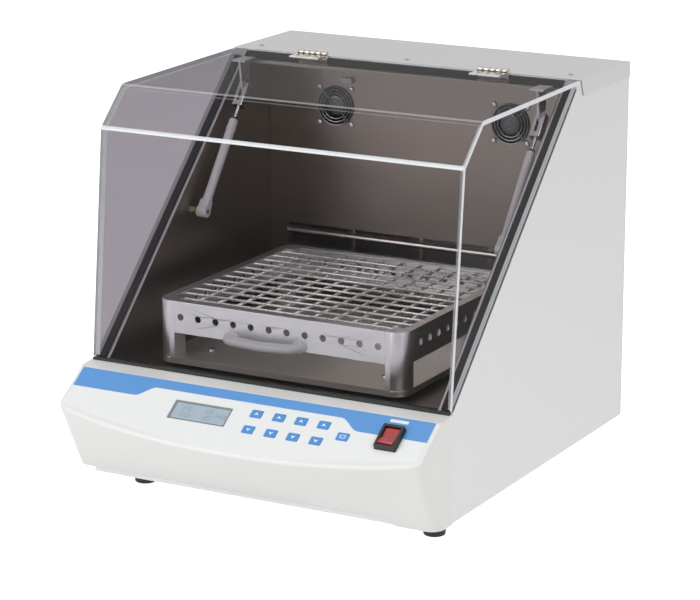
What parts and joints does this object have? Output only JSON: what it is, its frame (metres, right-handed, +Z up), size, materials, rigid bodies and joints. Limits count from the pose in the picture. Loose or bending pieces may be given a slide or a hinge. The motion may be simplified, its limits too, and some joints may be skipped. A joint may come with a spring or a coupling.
{
  "type": "incubated benchtop shaker",
  "caption": "Benchtop incubated shaker with a lift-up smoke-grey lid on gas struts, a sloping control fascia and an orbiting platform carrying a spring tray.",
  "frame": {"origin": "middle of the overall footprint, on the table under the feet", "axes": "+Z up, the control fascia faces -Y, +X to the right as seen from the front"},
  "size_m": [0.53, 0.6406, 0.5212],
  "materials": {
    "cabinet_steel": "satin, fine brushing",
    "liner_stainless": "bright annealed, faintly mirror-like",
    "fascia_white": "semi-gloss moulded white",
    "overlay_print": "printed film, satin",
    "key_blue": "satin",
    "display_glass": "clear window over a grey-green panel",
    "switch_black": "semi-gloss black",
    "rocker_red": "translucent red",
    "black_plastic": "fine-grained black",
    "black_rubber": "matte",
    "lid_acrylic": "clear smoke-grey sheet, polished",
    "hinge_chrome": "bright",
    "strut_white": "white powder coat",
    "strut_steel": "bright drawn",
    "stud_brass": "yellow passivated",
    "tray_aluminium": "satin anodised",
    "spring_steel": "bright wire",
    "handle_white": "white nylon, slightly translucent",
    "base_black": "black powder coat",
    "drive_steel": "turned and ground"
  },
  "bodies": {
    "cabinet": {"base_pan": "cabinet_steel", "feet": "black_rubber", "side_panel_left": "cabinet_steel", "side_panel_right": "cabinet_steel", "top_cover": "cabinet_steel", "back_panel": "cabinet_steel", "power_inlet": "black_plastic", "front_fascia": "fascia_white", "control_overlay": "overlay_print", "display_module": "display_glass", "rocker_frame": "switch_black", "chamber_wall_left": "liner_stainless", "chamber_wall_right": "liner_stainless", "chamber_floor": "liner_stainless", "chamber_header": "liner_stainless", "duct_panel": "liner_stainless", "fan_frames": "black_plastic", "fan_guards": "black_plastic", "sensor_clip": "handle_white", "mouth_gasket": "black_rubber", "cabinet_hinge_leaves": "hinge_chrome", "strut_studs": "stud_brass", "drive_chassis": "base_black", "drive_motor": "drive_steel"},
    "lid": {"lid_canopy": "lid_acrylic", "lid_side_left": "lid_acrylic", "lid_side_right": "lid_acrylic", "lid_hinge_leaves": "hinge_chrome", "strut_brackets": "strut_steel"},
    "strut_tube_left": {"strut_cylinder_left": "strut_white"},
    "strut_tube_right": {"strut_cylinder_right": "strut_white"},
    "strut_piston_left": {"strut_rod_left": "strut_steel"},
    "strut_piston_right": {"strut_rod_right": "strut_steel"},
    "crank": {"drive_crank": "drive_steel"},
    "platform": {"platform_plate": "tray_aluminium", "tray_posts": "tray_aluminium", "tray_rail_front": "tray_aluminium", "tray_rail_back": "tray_aluminium", "tray_rail_left": "tray_aluminium", "tray_rail_right": "tray_aluminium", "tray_springs": "spring_steel", "tray_handle": "handle_white"},
    "idler_1": {"idler_crank_1": "drive_steel"},
    "idler_2": {"idler_crank_2": "drive_steel"},
    "idler_3": {"idler_crank_3": "drive_steel"},
    "fan_left": {"fan_rotor_left": "black_plastic"},
    "fan_right": {"fan_rotor_right": "black_plastic"},
    "switch_rocker": {"rocker": "rocker_red"},
    "key_up_1_cap": {"key_up_1": "key_blue"},
    "key_up_2_cap": {"key_up_2": "key_blue"},
    "key_up_3_cap": {"key_up_3": "key_blue"},
    "key_up_4_cap": {"key_up_4": "key_blue"},
    "key_down_1_cap": {"key_down_1": "key_blue"},
    "key_down_2_cap": {"key_down_2": "key_blue"},
    "key_down_3_cap": {"key_down_3": "key_blue"},
    "key_down_4_cap": {"key_down_4": "key_blue"},
    "key_set_cap": {"key_set": "key_blue"}
  },
  "joints": [
    {"name": "lid_hinge", "type": "hinge", "parent": "cabinet", "child": "lid", "pos_m": [0, 0.1558, 0.518], "axis": [-1, 0, 0], "range_deg": [0, 55]},
    {"name": "strut_swing_left", "type": "hinge", "parent": "cabinet", "child": "strut_tube_left", "pos_m": [-0.225, 0.0068, 0.3155], "axis": [1, 0, 0], "range_deg": [0, 14]},
    {"name": "strut_slide_left", "type": "slide", "parent": "strut_tube_left", "child": "strut_piston_left", "axis": [0, 0.597, 0.8022], "range_m": [0, 0.0327]},
    {"name": "strut_swing_right", "type": "hinge", "parent": "cabinet", "child": "strut_tube_right", "pos_m": [0.225, 0.0068, 0.3155], "axis": [1, 0, 0], "range_deg": [0, 14]},
    {"name": "strut_slide_right", "type": "slide", "parent": "strut_tube_right", "child": "strut_piston_right", "axis": [0, 0.597, 0.8022], "range_m": [0, 0.0327]},
    {"name": "crank_spin", "type": "hinge", "parent": "cabinet", "child": "crank", "pos_m": [0, 0.0073, 0.12], "axis": [0, 0, 1], "continuous": true},
    {"name": "platform_orbit", "type": "hinge", "parent": "crank", "child": "platform", "pos_m": [-0.01, 0.0073, 0.155], "axis": [0, 0, 1], "continuous": true},
    {"name": "idler_1_spin", "type": "hinge", "parent": "cabinet", "child": "idler_1", "pos_m": [-0.12, 0.0998, 0.12], "axis": [0, 0, 1], "continuous": true},
    {"name": "idler_2_spin", "type": "hinge", "parent": "cabinet", "child": "idler_2", "pos_m": [0.12, 0.0998, 0.12], "axis": [0, 0, 1], "continuous": true},
    {"name": "idler_3_spin", "type": "hinge", "parent": "cabinet", "child": "idler_3", "pos_m": [0, -0.0952, 0.12], "axis": [0, 0, 1], "continuous": true},
    {"name": "fan_spin_left", "type": "hinge", "parent": "cabinet", "child": "fan_left", "pos_m": [-0.135, 0.2313, 0.434], "axis": [0, 1, 0], "continuous": true},
    {"name": "fan_spin_right", "type": "hinge", "parent": "cabinet", "child": "fan_right", "pos_m": [0.135, 0.2313, 0.434], "axis": [0, 1, 0], "continuous": true},
    {"name": "switch_tilt", "type": "hinge", "parent": "cabinet", "child": "switch_rocker", "pos_m": [0.2093, -0.26921, 0.135], "axis": [1, 0, 0], "range_deg": [0, 20]},
    {"name": "key_up_1_press", "type": "slide", "parent": "cabinet", "child": "key_up_1_cap", "axis": [0, 0.5664, -0.8241], "range_m": [0, 0.0005], "stiffness_N_per_m": 600, "springref_m": -0.0004},
    {"name": "key_up_2_press", "type": "slide", "parent": "cabinet", "child": "key_up_2_cap", "axis": [0, 0.5664, -0.8241], "range_m": [0, 0.0005], "stiffness_N_per_m": 600, "springref_m": -0.0004},
    {"name": "key_up_3_press", "type": "slide", "parent": "cabinet", "child": "key_up_3_cap", "axis": [0, 0.5664, -0.8241], "range_m": [0, 0.0005], "stiffness_N_per_m": 600, "springref_m": -0.0004},
    {"name": "key_up_4_press", "type": "slide", "parent": "cabinet", "child": "key_up_4_cap", "axis": [0, 0.5664, -0.8241], "range_m": [0, 0.0005], "stiffness_N_per_m": 600, "springref_m": -0.0004},
    {"name": "key_down_1_press", "type": "slide", "parent": "cabinet", "child": "key_down_1_cap", "axis": [0, 0.5664, -0.8241], "range_m": [0, 0.0005], "stiffness_N_per_m": 600, "springref_m": -0.0004},
    {"name": "key_down_2_press", "type": "slide", "parent": "cabinet", "child": "key_down_2_cap", "axis": [0, 0.5664, -0.8241], "range_m": [0, 0.0005], "stiffness_N_per_m": 600, "springref_m": -0.0004},
    {"name": "key_down_3_press", "type": "slide", "parent": "cabinet", "child": "key_down_3_cap", "axis": [0, 0.5664, -0.8241], "range_m": [0, 0.0005], "stiffness_N_per_m": 600, "springref_m": -0.0004},
    {"name": "key_down_4_press", "type": "slide", "parent": "cabinet", "child": "key_down_4_cap", "axis": [0, 0.5664, -0.8241], "range_m": [0, 0.0005], "stiffness_N_per_m": 600, "springref_m": -0.0004},
    {"name": "key_set_press", "type": "slide", "parent": "cabinet", "child": "key_set_cap", "axis": [0, 0.5664, -0.8241], "range_m": [0, 0.0005], "stiffness_N_per_m": 600, "springref_m": -0.0004}
  ],
  "couplings": [
    {"joint": "strut_swing_left", "follows": "lid_hinge", "ratio": 0.25256},
    {"joint": "strut_slide_left", "follows": "lid_hinge", "m_per_rad": 0.033888},
    {"joint": "strut_swing_right", "follows": "lid_hinge", "ratio": 0.25256},
    {"joint": "strut_slide_right", "follows": "lid_hinge", "m_per_rad": 0.033888},
    {"joint": "platform_orbit", "follows": "crank_spin", "ratio": -1},
    {"joint": "idler_1_spin", "follows": "crank_spin", "ratio": 1},
    {"joint": "idler_2_spin", "follows": "crank_spin", "ratio": 1},
    {"joint": "idler_3_spin", "follows": "crank_spin", "ratio": 1}
  ]
}
